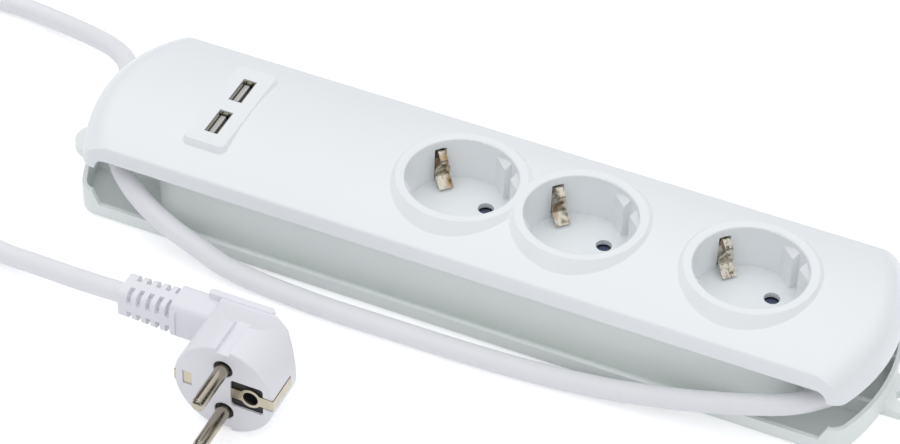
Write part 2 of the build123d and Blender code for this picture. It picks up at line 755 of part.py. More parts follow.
with BuildPart() as capacitors:
    for x, y, r, h in CAPACITOR_SETS:
        with BuildSketch(Plane.XY.offset(board_low)):
            with Locations((x, y)):
                Circle(r)
        extrude(amount=-h)
save(capacitors, "capacitors")

# Case screws, pointing up into the cover's bosses
with BuildPart() as case_screws:
    with BuildSketch(Plane.XY.offset(SCREW_RECESS_Z)):
        with Locations(*SCREW_AT):
            Circle(SCREW_HEAD_R)
    extrude(amount=-SCREW_HEAD_T)
    with BuildSketch(Plane.XY.offset(SCREW_RECESS_Z)):
        with Locations(*SCREW_AT):
            Circle(SCREW_R)
    extrude(amount=SCREW_L)
    with BuildSketch(Plane.XY.offset(SCREW_RECESS_Z - SCREW_HEAD_T)):
        with Locations(*SCREW_AT):
            Rectangle(*SCREW_CROSS)
            Rectangle(*SCREW_CROSS[::-1])
    extrude(amount=SCREW_HEAD_T / 2, mode=Mode.SUBTRACT)
save(case_screws, "case_screws")

# Cord clamp: a saddle over the sheath, held by one screw
clamp_x = sum(CLAMP_X) / 2
with BuildPart() as cord_clamp:
    with BuildSketch(Plane.XY.offset(CLAMP_Z[0])):
        with Locations((clamp_x, sum(CLAMP_Y) / 2)):
            RectangleRounded(CLAMP_X[1] - CLAMP_X[0], CLAMP_Y[1] - CLAMP_Y[0], CLAMP_R)
    extrude(amount=CLAMP_Z[1] - CLAMP_Z[0])
    with BuildSketch(Plane.YZ.offset(CLAMP_X[0])):
        with Locations((EXIT_Y, EXIT_Z)):
            Circle(cord_r)
    extrude(amount=CLAMP_X[1] - CLAMP_X[0], mode=Mode.SUBTRACT)
    with Locations((clamp_x, CLAMP_SCREW_Y, CLAMP_Z[1])):
        Hole(CLAMP_SCREW_R)
save(cord_clamp, "cord_clamp")

with BuildPart() as clamp_screw:
    with BuildSketch(Plane.XY.offset(CLAMP_Z[1])):
        with Locations((clamp_x, CLAMP_SCREW_Y)):
            Circle(CLAMP_HEAD_R)
    extrude(amount=CLAMP_HEAD_T)
    with BuildSketch(Plane.XY.offset(CLAMP_Z[1])):
        with Locations((clamp_x, CLAMP_SCREW_Y)):
            Circle(CLAMP_SCREW_R)
    extrude(amount=CRADLE_Z - SEAT_BOSS_Z + 1 - CLAMP_Z[1])
save(clamp_screw, "clamp_screw")

# The end of the sheath inside the case, and the boot it leaves through
with BuildPart() as sheath_end:
    with BuildSketch(Plane.YZ.offset(SHEATH_END_X)):
        with Locations((EXIT_Y, EXIT_Z)):
            Circle(cord_r)
    extrude(amount=BOOT_END_X - SHEATH_END_X)
save(sheath_end, "sheath_end")

boot_base = BAY_X
wall_in = BAY_X - CORE_T
boot_l = BOOT_END_X - boot_base
with BuildPart() as exit_boot:
    with BuildSketch(Plane.XZ.offset(-EXIT_Y)):
        with BuildLine():
            Polyline(
                (wall_in - BOOT_FLANGE_T, EXIT_Z),
                (wall_in - BOOT_FLANGE_T, EXIT_Z + BOOT_FLANGE_R),
                (wall_in, EXIT_Z + BOOT_FLANGE_R),
                (wall_in, EXIT_Z + BOOT_NECK_R),
                (boot_base, EXIT_Z + BOOT_NECK_R),
                (boot_base, EXIT_Z + BOOT_R[0]),
                (BOOT_END_X, EXIT_Z + BOOT_R[1]),
                (BOOT_END_X, EXIT_Z),
                close=True,
            )
        make_face()
    revolve(axis=Axis((0, EXIT_Y, EXIT_Z), (1, 0, 0)))
    with BuildSketch(Plane.YZ.offset(wall_in - BOOT_FLANGE_T)):
        with Locations((EXIT_Y, EXIT_Z)):
            Circle(cord_r)
    extrude(amount=boot_l + CORE_T + BOOT_FLANGE_T, mode=Mode.SUBTRACT)
    for groove in range(BOOT_GROOVES):
        groove_x = boot_base + boot_l * (groove + 1) / (BOOT_GROOVES + 1)
        with BuildSketch(Plane.YZ.offset(groove_x)):
            with Locations((EXIT_Y, EXIT_Z)):
                Circle(BOOT_R[0] + 1)
                Circle((cord_r + BOOT_R[1]) / 2, mode=Mode.SUBTRACT)
        extrude(amount=BOOT_GROOVE_W, mode=Mode.SUBTRACT)
save(exit_boot, "exit_boot")

# Insulated cores from the sheath's end to the rails, and the charger's own two feeds
rail_end = STRIP_X[0]
high_z = STRIP_Z[1] - CORE_WIRE_R - CORE_WIRE_GAP
low_z = STRIP_Z[0] + FEED_WIRE_R + FEED_WIRE_GAP
wire_routes = {
    "live_wire": [
        (SHEATH_END_X, EXIT_Y - 1.5, EXIT_Z + 0.9),
        (-100.8, EXIT_Y - 1.5, EXIT_Z + 0.9),
        (-101.0, 8.6, 10.0),
        (-86.0, 7.8, 9.2),
        (-47.0, strip_y, high_z),
        (rail_end, strip_y, high_z),
    ],
    "neutral_wire": [
        (SHEATH_END_X, EXIT_Y + 1.5, EXIT_Z + 0.9),
        (-102.9, EXIT_Y + 1.5, EXIT_Z + 0.9),
        (-103.0, 8.4, 6.8),
        (-86.0, 7.4, 6.3),
        (-68.0, -6.5, 6.6),
        (-47.0, -strip_y, high_z),
        (rail_end, -strip_y, high_z),
    ],
    "earth_wire": [
        (SHEATH_END_X, EXIT_Y, EXIT_Z - 1.7),
        (-100.6, EXIT_Y, EXIT_Z - 1.7),
        (-101.5, 8.8, 3.7),
        (-86.0, 7.2, 3.7),
        (-62.0, 0.2, 4.2),
        (-45.0, 0.0, EARTH_Z),
        (EARTH_X[0], 0.0, EARTH_Z),
    ],
}
for name, route in wire_routes.items():
    with BuildPart() as wire:
        add(tube(route, CORE_WIRE_R)[0])
    save(wire, name)
feed_routes = (
    [
        (-88.0, 3.0, board_low),
        (-88.0, 3.0, 17.0),
        (-84.0, 3.5, 12.0),
        (-62.0, 4.5, 4.8),
        (-47.0, strip_y, low_z),
        (rail_end, strip_y, low_z),
    ],
    [
        (-87.4, -5.0, board_low),
        (-87.4, -5.0, 17.0),
        (-83.5, -12.0, 12.0),
        (-62.0, -14.0, 4.8),
        (-47.0, -strip_y, low_z),
        (rail_end, -strip_y, low_z),
    ],
)
with BuildPart() as board_feeds:
    for route in feed_routes:
        add(tube(route, FEED_WIRE_R)[0])
save(board_feeds, "board_feeds")

# Plug body: a round drum cut away to a narrow back, the neck and the slotted relief in one moulding
plug = Plane(origin=(PLUG_X, PLUG_Y, PLUG_R), x_dir=(1, 0, 0), z_dir=(0, 0, 1))
face_on = Plane(origin=(PLUG_X, PLUG_Y, PLUG_R), x_dir=(1, 0, 0), z_dir=(0, -1, 0))
side_on = Plane(origin=(PLUG_X, PLUG_Y, PLUG_R), x_dir=(0, 1, 0), z_dir=(1, 0, 0))
earth_strip_x = EARTH_WINDOW_X - EARTH_WINDOW[0] / 2 + EARTH_STRIP_END
with BuildPart() as insert_seat:
    with BuildSketch(face_on.offset(-INSERT_SINK)):
        with Locations((0, PIN_PITCH / 2), (0, -PIN_PITCH / 2)):
            Circle(INSERT_RING_R)
        with Locations((EARTH_WINDOW_X, 0)):
            RectangleRounded(EARTH_WINDOW[0], EARTH_WINDOW[1], EARTH_WINDOW_R)
    extrude(amount=-2 * INSERT_T)
    with BuildSketch(face_on.offset(-INSERT_SINK - INSERT_T)):
        Rectangle(2 * INSERT_RING_R, PIN_PITCH)
    extrude(amount=-INSERT_T)

with BuildPart() as plug_insert:
    add(insert_seat.part)
    with BuildSketch(face_on):
        with Locations((0, PIN_PITCH / 2), (0, -PIN_PITCH / 2)):
            Circle(PLUG_SHANK_R)
        with Locations((EARTH_HOLE_X, 0)):
            Circle(EARTH_HOLE_R)
    extrude(amount=-3 * INSERT_T, mode=Mode.SUBTRACT)
save(plug_insert, "plug_insert")

with BuildPart() as plug_earth_right:
    with BuildSketch(face_on.offset(-INSERT_SINK)):
        with Locations(((earth_strip_x + PLUG_R) / 2, 0)):
            Rectangle(PLUG_R - earth_strip_x, EARTH_STRIP_W)
        with Locations((EARTH_HOLE_X, 0)):
            Circle(EARTH_RING_R)
            Circle(EARTH_HOLE_R, mode=Mode.SUBTRACT)
    extrude(amount=RIM_STRIP_T)
    with BuildSketch(face_on.offset(-INSERT_SINK + RIM_STRIP_T)):
        with Locations((PLUG_R - RIM_STRIP_T / 2, 0)):
            Rectangle(RIM_STRIP_T, EARTH_STRIP_W)
    extrude(amount=-RIM_STRIP_L)
save(plug_earth_right, "plug_earth_right")

with BuildPart() as plug_earth_left:
    with BuildSketch(face_on):
        with Locations((-PLUG_R + RIM_STRIP_T / 2, 0)):
            Rectangle(RIM_STRIP_T, EARTH_STRIP_W)
    extrude(amount=-RIM_STRIP_L)
    with BuildSketch(face_on.offset(-INSERT_SINK - RIM_STRIP_T)):
        with Locations(((LEFT_TAB_X - PLUG_R) / 2, 0)):
            Rectangle(PLUG_R + LEFT_TAB_X, EARTH_STRIP_W)
    extrude(amount=RIM_STRIP_T)
    with BuildSketch(face_on.offset(-INSERT_SINK - RIM_STRIP_T)):
        with Locations((LEFT_TAB_X, 0)):
            Rectangle(*LEFT_TAB)
    extrude(amount=INSERT_SINK / 2 + RIM_STRIP_T)
save(plug_earth_left, "plug_earth_left")

for index, side in enumerate((1, -1), start=1):
    with BuildPart() as plug_pin:
        with BuildSketch(face_on.offset(PLUG_PIN_L)):
            with Locations((0, side * PIN_PITCH / 2)):
                Circle(PLUG_PIN_R)
        extrude(amount=-PLUG_PIN_L - INSERT_SINK + PLUG_SHANK_GAP)
        tip = plug_pin.faces().sort_by(Axis.Y)[0].edges()
        fillet(tip, PLUG_PIN_TIP_R)
        # a slimmer shank holds the pin in the insert
        with BuildSketch(face_on.offset(-INSERT_SINK + PLUG_SHANK_GAP)):
            with Locations((0, side * PIN_PITCH / 2)):
                Circle(PLUG_SHANK_R)
        extrude(amount=-PLUG_SHANK_GAP - 2 * INSERT_T)
    save(plug_pin, f"plug_pin_{index}")

with BuildPart() as plug_body:
    with BuildSketch(face_on):
        Circle(PLUG_R)
    extrude(amount=-PLUG_BACK)
    fillet(plug_body.faces().sort_by(Axis.Y)[0].edges(), PLUG_RIM_R)
    with BuildSketch(plug):
        with BuildLine():
            Polyline(
                (PLUG_R, 0),
                (PLUG_R, PLUG_DRUM),
                (PLUG_BACK_X, PLUG_BACK - PLUG_BACK_DROP),
                (-PLUG_R, PLUG_BACK - PLUG_BACK_DROP),
                (-PLUG_R, 0),
                close=True,
            )
        make_face()
    extrude(amount=PLUG_R, both=True, mode=Mode.INTERSECT)
    with BuildSketch(side_on):
        with BuildLine():
            Polyline(
                (0, -PLUG_R),
                (PLUG_TAPER_Y, -PLUG_R),
                (PLUG_TAPER_Y + PLUG_TAPER_L, -PLUG_BACK_H),
                (PLUG_BACK, -PLUG_BACK_H),
                (PLUG_BACK, PLUG_BACK_H),
                (PLUG_TAPER_Y + PLUG_TAPER_L, PLUG_BACK_H),
                (PLUG_TAPER_Y, PLUG_R),
                (0, PLUG_R),
                close=True,
            )
        make_face()
    extrude(amount=PLUG_R, both=True, mode=Mode.INTERSECT)
    neck_y = PLUG_BACK - PLUG_NECK[0] / 2
    with BuildSketch(Plane(origin=(PLUG_X, PLUG_Y + neck_y, PLUG_R), x_dir=(0, 1, 0), z_dir=(-1, 0, 0))):
        RectangleRounded(PLUG_NECK[0], PLUG_NECK[1], RELIEF_R)
    extrude(amount=PLUG_NECK_X)
    # a fin along the back, above and below, to pull the plug out by
    with BuildSketch(Plane(origin=(PLUG_X, PLUG_Y, PLUG_R - PLUG_FIN_Z), z_dir=(0, 0, 1))):
        with Locations((sum(PLUG_FIN_X) / 2, PLUG_FIN_Y)):
            SlotOverall(PLUG_FIN_X[1] - PLUG_FIN_X[0], PLUG_FIN_T)
    extrude(amount=2 * PLUG_FIN_Z)
    relief_start = Plane(
        origin=(PLUG_X - PLUG_NECK_X, PLUG_Y + PLUG_CORD_Y, PLUG_R), x_dir=(0, 1, 0), z_dir=(-1, 0, 0)
    )
    with BuildSketch(relief_start.offset(-2)):
        RectangleRounded(RELIEF_SIZE[0], RELIEF_SIZE[0], RELIEF_R)
    with BuildSketch(relief_start.offset(RELIEF_L)):
        RectangleRounded(RELIEF_SIZE[1], RELIEF_SIZE[1], RELIEF_R)
    loft()
    # slots round its four edges, with a web left along the middle of each side
    slot_core = RELIEF_SIZE[0] - 2 * RELIEF_SLOT_D
    for slot in range(RELIEF_SLOTS):
        with BuildSketch(relief_start.offset(slot * RELIEF_PITCH)):
            Rectangle(2 * RELIEF_SIZE[0], 2 * RELIEF_SIZE[0])
            RectangleRounded(slot_core, slot_core, RELIEF_R, mode=Mode.SUBTRACT)
            Rectangle(2 * RELIEF_SIZE[0], RELIEF_WEB, mode=Mode.SUBTRACT)
            Rectangle(RELIEF_WEB, 2 * RELIEF_SIZE[0], mode=Mode.SUBTRACT)
        extrude(amount=RELIEF_SLOT_W, mode=Mode.SUBTRACT)
    # guide grooves above and below, and the step that the left earth strip lies in
    with BuildSketch(face_on):
        with Locations((0, PLUG_R), (0, -PLUG_R)):
            Rectangle(GUIDE_GROOVE_W, 2 * GUIDE_GROOVE_D)
    extrude(amount=-PLUG_BACK / 2, mode=Mode.SUBTRACT)
    with BuildSketch(face_on):
        with Locations((PLUG_R, 0), (-PLUG_R, 0)):
            Rectangle(2 * RIM_STRIP_T, RIM_STRIP_W)
    extrude(amount=-RIM_STRIP_L, mode=Mode.SUBTRACT)
    with BuildSketch(face_on):
        with Locations((STRIP_BED[0], 0)):
            Rectangle(STRIP_BED[1], RIM_STRIP_W)
        with Locations((LEFT_TAB_X, 0)):
            Rectangle(*LEFT_TAB)
    extrude(amount=-INSERT_SINK, mode=Mode.SUBTRACT)
    add(insert_seat.part, mode=Mode.SUBTRACT)
    add(plug_earth_left.part, mode=Mode.SUBTRACT)
    add(plug_earth_right.part, mode=Mode.SUBTRACT)
    with BuildSketch(face_on):
        with Locations((0, PIN_PITCH / 2), (0, -PIN_PITCH / 2)):
            Circle(INSERT_RING_R)
        with Locations((EARTH_WINDOW_X, 0)):
            RectangleRounded(EARTH_WINDOW[0], EARTH_WINDOW[1], EARTH_WINDOW_R)
    extrude(amount=-INSERT_SINK, mode=Mode.SUBTRACT)
save(plug_body, "plug_body")

# The free cord. Its route is a list of points: out of the boot, round the channel at the back and
# the right end, out over the front and back in at the left end, then away to the coil
cord_route = [
    (BOOT_END_X, EXIT_Y, EXIT_Z),
    (-47.0, EXIT_Y, EXIT_Z),
    (-31.0, 27.5, 13.0),
    (-14.0, 34.0, 11.5),
    (8.0, 35.6, 10.8),
    (32.0, 34.4, 10.6),
    (56.0, 35.3, 10.6),
    (78.0, 34.4, 10.7),
    (97.0, 35.6, 11.0),
    (112.0, 34.4, 11.4),
    (124.0, 29.6, 12.2),
    (133.2, 21.2, 12.8),
    (138.8, 10.2, 13.2),
    (140.6, -2.0, 14.2),
    (138.0, -14.2, 16.2),
    (132.0, -25.4, 17.3),
    (122.2, -33.4, 16.9),
    (110.0, -36.6, 14.8),
    (96.0, -38.2, 11.2),
    (80.0, -39.6, 7.8),
    (60.0, -41.0, 4.7),
    (36.0, -43.0, 3.8),
    (10.0, -44.2, 3.75),
    (-16.0, -44.4, 3.75),
    (-40.0, -44.8, 3.75),
    (-62.0, -43.6, 3.8),
    (-79.0, -42.6, 5.0),
    (-90.5, -40.9, 8.6),
    (-103.0, -39.2, 12.4),
    (-115.5, -35.2, 16.2),
    (-127.0, -27.6, 18.6),
    (-134.4, -17.2, 18.6),
    (-139.8, -5.5, 17.8),
    (-144.6, 6.5, 17.4),
    (-148.6, 18.6, 17.2),
    (-154.6, 29.6, 15.8),
    (-164.6, 38.6, 12.6),
    (-179.8, 46.8, 7.8),
    (-198.0, 52.6, 4.6),
    (-217.0, 55.2, 4.2),
    (-238.0, 53.0, 4.4),
    (COIL_AT[0] - 1.0, COIL_AT[1] + COIL_R + 4.6, 4.5),
]
tail_route = [
    (COIL_AT[0] + 2.0, COIL_AT[1] - COIL_R - 2.2, 11.0),
    (-237.0, -39.8, 8.2),
    (-218.0, -45.5, 4.6),
    (-198.0, -53.0, 3.8),
    (-177.0, -61.6, 3.8),
    (-155.0, -68.4, 4.2),
    (-135.0, -71.8, 8.2),
    (-117.0, -76.4, 12.6),
    (PLUG_X - PLUG_NECK_X - RELIEF_L, PLUG_Y + PLUG_CORD_Y, PLUG_R),
]
with BuildPart() as cord_run:
    run_part, run_l = tube(cord_route, cord_r)
    add(run_part)
save(cord_run, "cord_run")
with BuildPart() as plug_tail:
    tail_part, tail_l = tube(tail_route, cord_r)
    add(tail_part)
save(plug_tail, "plug_tail")

# The put-away length: one closed ring of the coil's outer shape, and the strap round it
coil_turns = (CORD_LENGTH - run_l - tail_l) / (2 * math.pi * COIL_R)
with BuildPart() as cord_coil:
    with BuildSketch(Plane.XZ.offset(-COIL_AT[1])):
        with Locations((COIL_AT[0] + COIL_R, TIE_T + CORD_D)):
            RectangleRounded(2 * CORD_D, 2 * CORD_D, cord_r)
    revolve(axis=Axis((*COIL_AT, 0), (0, 0, 1)))
save(cord_coil, "cord_coil")

with BuildPart() as coil_tie:
    tie_start = math.radians(180 - TIE_SPREAD)
    tie_plane = Plane(
        origin=(*COIL_AT, TIE_T + CORD_D),
        x_dir=(math.cos(tie_start), math.sin(tie_start), 0),
        z_dir=(math.sin(tie_start), -math.cos(tie_start), 0),
    )
    with BuildSketch(tie_plane):
        with Locations((COIL_R, 0)):
            RectangleRounded(2 * CORD_D + 2 * TIE_T, 2 * CORD_D + 2 * TIE_T, cord_r + TIE_T)
            RectangleRounded(2 * CORD_D, 2 * CORD_D, cord_r, mode=Mode.SUBTRACT)
    revolve(axis=Axis((*COIL_AT, 0), (0, 0, 1)), revolution_arc=2 * TIE_SPREAD)
save(coil_tie, "coil_tie")
for name, made, length in (("cord_run", run_part, run_l), ("plug_tail", tail_part, tail_l)):
    share = made.volume / (math.pi * cord_r**2 * length)
    print(name, "length", round(length, 1), "volume over section times length", round(share, 4))
for name, route in (("cord_run", cord_route), ("plug_tail", tail_route)):
    print(name, "radii", [round(radius) for radius in arc_radii(route)])
print("turns in the coil", round(coil_turns, 2))
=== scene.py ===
# %% [markdown]
# An extension lead on a white table. The case, the plug and everything inside them come as a fixed
# model whose sizes are settled. This lesson gives each part its finish, draws the cord as one smooth
# line, and sets up the camera and the light of a plain catalogue photograph.

import math

import bpy
import numpy as np
from mathutils import Matrix, Vector


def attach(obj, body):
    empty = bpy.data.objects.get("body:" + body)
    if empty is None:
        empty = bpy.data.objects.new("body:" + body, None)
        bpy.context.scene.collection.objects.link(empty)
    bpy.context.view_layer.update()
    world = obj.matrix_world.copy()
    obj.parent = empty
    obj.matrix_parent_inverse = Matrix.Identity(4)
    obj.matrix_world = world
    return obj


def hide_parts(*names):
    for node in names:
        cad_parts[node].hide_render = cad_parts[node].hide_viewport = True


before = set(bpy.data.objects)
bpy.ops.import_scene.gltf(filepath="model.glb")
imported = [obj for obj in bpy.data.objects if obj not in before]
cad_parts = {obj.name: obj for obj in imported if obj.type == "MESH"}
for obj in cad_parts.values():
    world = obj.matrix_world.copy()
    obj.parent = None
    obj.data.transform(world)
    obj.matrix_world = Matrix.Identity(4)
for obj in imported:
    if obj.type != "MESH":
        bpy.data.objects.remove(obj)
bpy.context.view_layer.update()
MM = 0.001
print("parts in the model:", len(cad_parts))

# %% [markdown]
# The camera stands where the photographer's did: in front, a little to the right, looking down at
# about 42 degrees through a long lens. A long lens from a metre away keeps parallel edges nearly
# parallel, which is why product pictures use one. The picture is also tilted by a little over two
# degrees.

# %% Camera
AIM = Vector((-9.0, -11.0, 27.8)) * MM
DISTANCE = 1029.6 * MM
AZIMUTH = math.radians(22.11)
ELEVATION = math.radians(42.2)
ROLL = math.radians(2.3)
FOCAL_PX = 3022.0
IMAGE_W = 900.0
SENSOR = 36.0


def camera_frame(azimuth, elevation, roll):
    """Axes of the camera: backwards along the view, to the right level with the floor, and up.
    The roll turns right and up about the view."""
    back = Vector((math.sin(azimuth), -math.cos(azimuth), math.tan(elevation))).normalized()
    right = Vector((math.cos(azimuth), math.sin(azimuth), 0))
    up = back.cross(right)
    rolled_right = math.cos(roll) * right + math.sin(roll) * up
    rolled_up = math.cos(roll) * up - math.sin(roll) * right
    return rolled_right, rolled_up, back


right, up, back = camera_frame(AZIMUTH, ELEVATION, ROLL)
lens = bpy.data.cameras.new("lens")
lens.sensor_width = SENSOR
lens.lens = FOCAL_PX / IMAGE_W * SENSOR
lens.clip_start = 0.05
lens.clip_end = 20
camera = bpy.data.objects.new("camera", lens)
place = Matrix((right, up, back)).transposed().to_4x4()
place.translation = AIM + DISTANCE * back
camera.matrix_world = place
bpy.context.scene.collection.objects.link(camera)
bpy.context.scene.camera = camera
bpy.context.scene.view_settings.view_transform = "Standard"
print("lens", round(lens.lens, 1), "mm")

# %% [markdown]
# Every finish is written with colours as they are picked on a screen, in hexadecimal. The renderer
# counts light, not screen values, so one function turns the first into the second. Another small
# function adds a node to a material: plain values go into its sockets, and sockets are linked.
# Blender's Mix node has sockets for numbers and for colours under the same names, so those for
# colours are taken by their places in its lists.

# %% Helpers for colours and nodes
MIX_FACTOR, MIX_FIRST, MIX_SECOND, MIX_RESULT = 0, 6, 7, 2


def linear(hex_colour):
    """Screen colour to light: the value over 12.92 near black, and above that ((value + 0.055) / 1.055)
    to the power 2.4."""
    screen = np.array([int(hex_colour[i : i + 2], 16) for i in (1, 3, 5)]) / 255
    light = np.where(screen <= 0.04045, screen / 12.92, ((screen + 0.055) / 1.055) ** 2.4)
    return (*light.tolist(), 1.0)


def add_node(tree, kind, inputs=None, **settings):
    """Adds one node, applies its settings, and fills its inputs with values or with other sockets. An
    input goes by its name or by its place."""
    made = tree.nodes.new(kind)
    for name, value in settings.items():
        setattr(made, name, value)
    for name, value in (inputs or {}).items():
        if isinstance(value, bpy.types.NodeSocket):
            tree.links.new(value, made.inputs[name])
        else:
            made.inputs[name].default_value = value
    return made


def new_material(name, colour, roughness, metallic=0.0, **sockets):
    """A material with one Principled shader of this colour. Returns the material, tree and shader."""
    material = bpy.data.materials.new(name)
    material.use_nodes = True
    tree = material.node_tree
    shader = tree.nodes["Principled BSDF"]
    shader.inputs["Base Color"].default_value = linear(colour)
    shader.inputs["Roughness"].default_value = roughness
    shader.inputs["Metallic"].default_value = metallic
    for socket, value in sockets.items():
        shader.inputs[socket.replace("_", " ")].default_value = value
    return material, tree, shader


def grain_mm(size):
    """Scale of a noise whose grains are this many millimetres across, on coordinates in metres."""
    return 1 / (size * MM)


def dress(material, *nodes):
    """Gives parts of the fixed model one finish."""
    for name in nodes:
        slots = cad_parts[name].data.materials
        slots.clear()
        slots.append(material)


# %% [markdown]
# The case is white ABS, moulded in a tool whose faces were spark eroded to a fine, even satin. That
# gives the eye a soft highlight with no sharp reflections. Two noises make it: grains of a third of
# a millimetre for the satin, and wide, very shallow waves where the melt shrank over the ribs.

# %% Moulded ABS
def moulded_abs(name, colour, shade, roughness):
    """Satin moulded plastic: colour drifts to a close shade over 30 mm, fine grain in the bump."""
    material, tree, shader = new_material(name, colour, roughness, IOR=1.53)
    where = add_node(tree, "ShaderNodeTexCoord").outputs["Object"]
    drift = add_node(tree, "ShaderNodeTexNoise", {"Vector": where, "Scale": grain_mm(30), "Detail": 2.0})
    tints = {MIX_FACTOR: drift.outputs["Fac"], MIX_FIRST: linear(colour), MIX_SECOND: linear(shade)}
    tint = add_node(tree, "ShaderNodeMix", tints, data_type="RGBA")
    tree.links.new(tint.outputs[MIX_RESULT], shader.inputs["Base Color"])
    satin = add_node(tree, "ShaderNodeTexNoise", {"Vector": where, "Scale": grain_mm(0.35), "Detail": 3.0})
    waves = add_node(tree, "ShaderNodeTexNoise", {"Vector": where, "Scale": grain_mm(14), "Detail": 1.0})
    low = add_node(
        tree, "ShaderNodeBump", {"Height": waves.outputs["Fac"], "Strength": 0.1, "Distance": 0.4 * MM}
    )
    fine = {"Height": satin.outputs["Fac"], "Strength": 0.1, "Distance": 0.04 * MM}
    high = add_node(tree, "ShaderNodeBump", {**fine, "Normal": low.outputs["Normal"]})
    tree.links.new(high.outputs["Normal"], shader.inputs["Normal"])
    return material


CASE = moulded_abs("case_white_abs", "#F8FBFC", "#F5F8F9", 0.36)
BASE = moulded_abs("base_white_abs", "#F7FBF9", "#F3F8F5", 0.42)
dress(CASE, "top_cover")
dress(BASE, "base_tray", "core_wall")
print("case in two close whites")

# %% [markdown]
# The cord's sheath and the plug are soft PVC. It is duller than ABS and a little bluer, and an
# extruded sheath shows the faint lay of the three cores inside as very shallow waves.

# %% Soft PVC
def soft_pvc(name, colour, shade, roughness, wave_mm, wave_depth):
    """Soft plastic: a close colour drift, waves this long and deep in millimetres, a fine dull grain."""
    material, tree, shader = new_material(name, colour, roughness, IOR=1.52)
    where = add_node(tree, "ShaderNodeTexCoord").outputs["Object"]
    drift = add_node(tree, "ShaderNodeTexNoise", {"Vector": where, "Scale": grain_mm(18), "Detail": 2.0})
    tints = {MIX_FACTOR: drift.outputs["Fac"], MIX_FIRST: linear(colour), MIX_SECOND: linear(shade)}
    tint = add_node(tree, "ShaderNodeMix", tints, data_type="RGBA")
    tree.links.new(tint.outputs[MIX_RESULT], shader.inputs["Base Color"])
    lay = {"Vector": where, "Scale": grain_mm(wave_mm), "Detail": 1.0}
    waves = add_node(tree, "ShaderNodeTexNoise", lay)
    grain = add_node(tree, "ShaderNodeTexNoise", {"Vector": where, "Scale": grain_mm(0.3), "Detail": 2.0})
    wide = {"Height": waves.outputs["Fac"], "Strength": 0.3, "Distance": wave_depth * MM}
    low = add_node(tree, "ShaderNodeBump", wide)
    fine = {"Height": grain.outputs["Fac"], "Strength": 0.15, "Distance": 0.05 * MM}
    high = add_node(tree, "ShaderNodeBump", {**fine, "Normal": low.outputs["Normal"]})
    tree.links.new(high.outputs["Normal"], shader.inputs["Normal"])
    return material


SHEATH = soft_pvc("cord_sheath_pvc", "#F6F6F8", "#F2F2F5", 0.48, 7, 0.25)
PLUG = soft_pvc("plug_moulded_pvc", "#F4F4F8", "#F0F0F5", 0.42, 9, 0.1)
dress(SHEATH, "sheath_end", "exit_boot")
dress(PLUG, "plug_body")
print("two soft whites")

# %% [markdown]
# Bright metal is nickel plate on brass: the plug's pins, its earth strips and the charge ports. The port
# shells have painted shade: below the rim their colour goes to near black.
# Stamping and drawing leave fine lines along a strip, so roughness and bump come from a noise
# stretched one way. The earth clips and rails are spring bronze with a thin nickel flash, which plugs
# have worn through in places, so those are darker and warmer. Small dark spots on them are painted
# reflections, standing in for dark surroundings mirrored in the strip.

# %% Metals
LINE_STRETCH = 20


def plated_metal(name, colour, shade, roughness, line_mm, along):
    """Metal with drawn lines: a noise this fine across and 20 times longer along one axis. The
    roughness goes from 0.7 to 1.3 times the one given."""
    material, tree, shader = new_material(name, colour, roughness, 1.0)
    where = add_node(tree, "ShaderNodeTexCoord").outputs["Object"]
    stretch = [1.0, 1.0, 1.0]
    stretch["XYZ".index(along)] = 1 / LINE_STRETCH
    lined = add_node(tree, "ShaderNodeMapping", {"Vector": where, "Scale": stretch}).outputs["Vector"]
    drawn = {"Vector": lined, "Scale": grain_mm(line_mm), "Detail": 3.0}
    lines = add_node(tree, "ShaderNodeTexNoise", drawn)
    spots = add_node(tree, "ShaderNodeTexNoise", {"Vector": where, "Scale": grain_mm(4), "Detail": 3.0})
    tints = {MIX_FACTOR: spots.outputs["Fac"], MIX_FIRST: linear(colour), MIX_SECOND: linear(shade)}
    tint = add_node(tree, "ShaderNodeMix", tints, data_type="RGBA")
    tree.links.new(tint.outputs[MIX_RESULT], shader.inputs["Base Color"])
    gloss = add_node(
        tree,
        "ShaderNodeMapRange",
        {"Value": lines.outputs["Fac"], "To Min": roughness * 0.7, "To Max": roughness * 1.3},
    )
    tree.links.new(gloss.outputs["Result"], shader.inputs["Roughness"])
    bump = add_node(
        tree, "ShaderNodeBump", {"Height": lines.outputs["Fac"], "Strength": 0.2, "Distance": 0.02 * MM}
    )
    tree.links.new(bump.outputs["Normal"], shader.inputs["Normal"])
    return material


